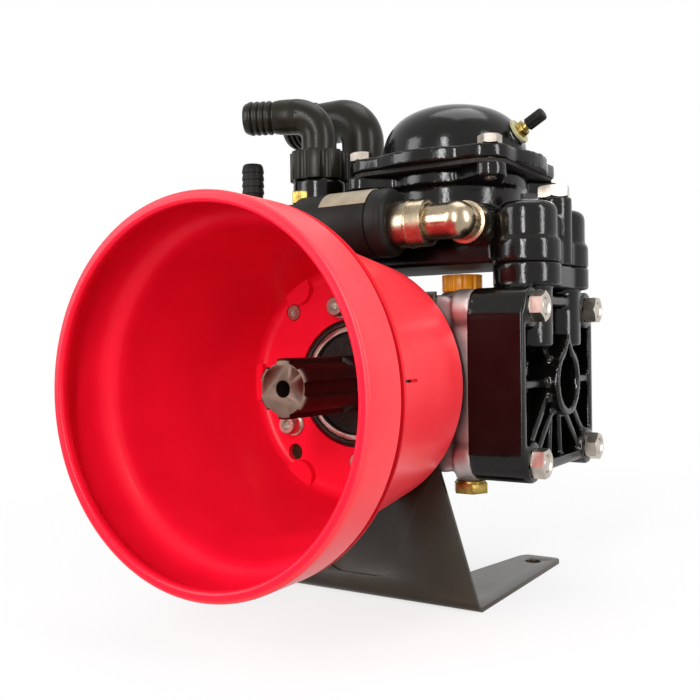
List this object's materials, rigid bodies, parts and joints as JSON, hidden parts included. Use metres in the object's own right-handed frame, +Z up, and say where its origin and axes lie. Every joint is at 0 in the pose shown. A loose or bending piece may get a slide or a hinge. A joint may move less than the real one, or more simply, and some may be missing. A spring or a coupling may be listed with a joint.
{
  "type": "diaphragm sprayer pump",
  "caption": "Twin-diaphragm pump driven by a splined power take-off shaft, with a flared red guard, folded stand, valve manifold, air dome, control unit and barbed hose elbows.",
  "frame": {"origin": "midway between the two foot bolt holes, on the floor", "axes": "+Z up, the drive shaft points to -Y, the two heads face +X and -X"},
  "size_m": [0.247, 0.3, 0.3495],
  "materials": {
    "bracket_paint": "satin dark paint on folded sheet steel",
    "cast_aluminium": "sand-cast aluminium, lightly blasted",
    "zinc_steel": "zinc-plated fastener steel",
    "brass": "turned brass",
    "orange_plastic": "moulded orange plastic",
    "shaft_steel": "hardened dark steel, ground end",
    "ground_steel": "ground bearing steel",
    "seal_rubber": "nitrile rubber",
    "black_enamel": "gloss black enamel on cast aluminium",
    "black_plastic": "glass-filled black plastic",
    "elbow_plastic": "black moulded plastic with an olive sheen",
    "nickel": "warm nickel plate",
    "label": "blank pale label",
    "guard_red": "glossy red moulded plastic",
    "washer_yellow": "yellow sealing washer"
  },
  "bodies": {
    "pump": {"base_bracket": "bracket_paint", "crankcase": "cast_aluminium", "rear_cover": "cast_aluminium", "rear_cover_screws": "zinc_steel", "drain_plug": "brass", "oil_filler_cap": "orange_plastic", "front_bearing": "ground_steel", "rear_bearing": "ground_steel", "oil_seal": "seal_rubber", "snap_ring": "zinc_steel", "right_sleeve": "ground_steel", "left_sleeve": "ground_steel", "right_diaphragm": "seal_rubber", "left_diaphragm": "seal_rubber", "right_head": "black_enamel", "left_head": "black_enamel", "head_studs": "zinc_steel", "head_nuts": "zinc_steel", "valve_seats": "ground_steel", "valve_cages": "black_plastic", "manifold": "black_enamel", "manifold_bolts": "zinc_steel", "accumulator_diaphragm": "seal_rubber", "accumulator_dome": "black_enamel", "accumulator_bolts": "zinc_steel", "air_valve_washer": "washer_yellow", "air_valve": "brass", "air_valve_cap": "black_plastic", "control_unit": "black_plastic", "control_bonnet": "black_plastic", "gauge_plug": "brass", "rating_plate": "label", "outlet_elbow": "nickel", "outlet_collar": "nickel", "return_elbow": "elbow_plastic", "return_nut": "elbow_plastic", "suction_elbow": "elbow_plastic", "delivery_tail": "black_plastic", "pto_guard": "guard_red", "guard_screws": "zinc_steel", "plate_screws": "zinc_steel"},
    "shaft": {"pto_shaft": "shaft_steel", "eccentric_roller": "ground_steel"},
    "right_piston": {"right_piston": "cast_aluminium", "right_gudgeon_pin": "ground_steel", "right_clamp_disc": "zinc_steel"},
    "right_rod": {"right_conrod": "ground_steel"},
    "right_delivery_valve": {"right_delivery_disc": "ground_steel", "right_delivery_spring": "ground_steel"},
    "right_suction_valve": {"right_suction_disc": "ground_steel", "right_suction_spring": "ground_steel"},
    "left_piston": {"left_piston": "cast_aluminium", "left_gudgeon_pin": "ground_steel", "left_clamp_disc": "zinc_steel"},
    "left_rod": {"left_conrod": "ground_steel"},
    "left_delivery_valve": {"left_delivery_disc": "ground_steel", "left_delivery_spring": "ground_steel"},
    "left_suction_valve": {"left_suction_disc": "ground_steel", "left_suction_spring": "ground_steel"},
    "knob": {"regulator_knob": "black_plastic"}
  },
  "joints": [
    {"name": "shaft_spin", "type": "hinge", "parent": "pump", "child": "shaft", "pos_m": [0, -0.07, 0.136], "axis": [0, -1, 0], "continuous": true},
    {"name": "right_piston_slide", "type": "slide", "parent": "pump", "child": "right_piston", "axis": [1, 0, 0], "range_m": [-0.006, 0.006]},
    {"name": "right_rod_rock", "type": "hinge", "parent": "right_piston", "child": "right_rod", "pos_m": [0.057, -0.07, 0.136], "axis": [0, 1, 0], "range_deg": [-6, 6]},
    {"name": "right_delivery_lift", "type": "slide", "parent": "pump", "child": "right_delivery_valve", "axis": [0, 0, 1], "range_m": [0, 0.003], "stiffness_N_per_m": 60, "springref_m": -0.001, "deforming": ["right_delivery_spring"]},
    {"name": "right_suction_lift", "type": "slide", "parent": "pump", "child": "right_suction_valve", "axis": [0, 0, -1], "range_m": [0, 0.003], "stiffness_N_per_m": 60, "springref_m": -0.001, "deforming": ["right_suction_spring"]},
    {"name": "left_piston_slide", "type": "slide", "parent": "pump", "child": "left_piston", "axis": [1, 0, 0], "range_m": [-0.006, 0.006]},
    {"name": "left_rod_rock", "type": "hinge", "parent": "left_piston", "child": "left_rod", "pos_m": [-0.057, -0.07, 0.136], "axis": [0, 1, 0], "range_deg": [-6, 6]},
    {"name": "left_delivery_lift", "type": "slide", "parent": "pump", "child": "left_delivery_valve", "axis": [0, 0, 1], "range_m": [0, 0.003], "stiffness_N_per_m": 60, "springref_m": -0.001, "deforming": ["left_delivery_spring"]},
    {"name": "left_suction_lift", "type": "slide", "parent": "pump", "child": "left_suction_valve", "axis": [0, 0, -1], "range_m": [0, 0.003], "stiffness_N_per_m": 60, "springref_m": -0.001, "deforming": ["left_suction_spring"]},
    {"name": "regulator_turn", "type": "hinge", "parent": "pump", "child": "knob", "pos_m": [-0.06, -0.126, 0.236], "axis": [1, 0, 0], "range_deg": [0, 1080]}
  ],
  "couplings": [
    {"joint": "left_piston_slide", "follows": "right_piston_slide", "ratio": 1}
  ]
}
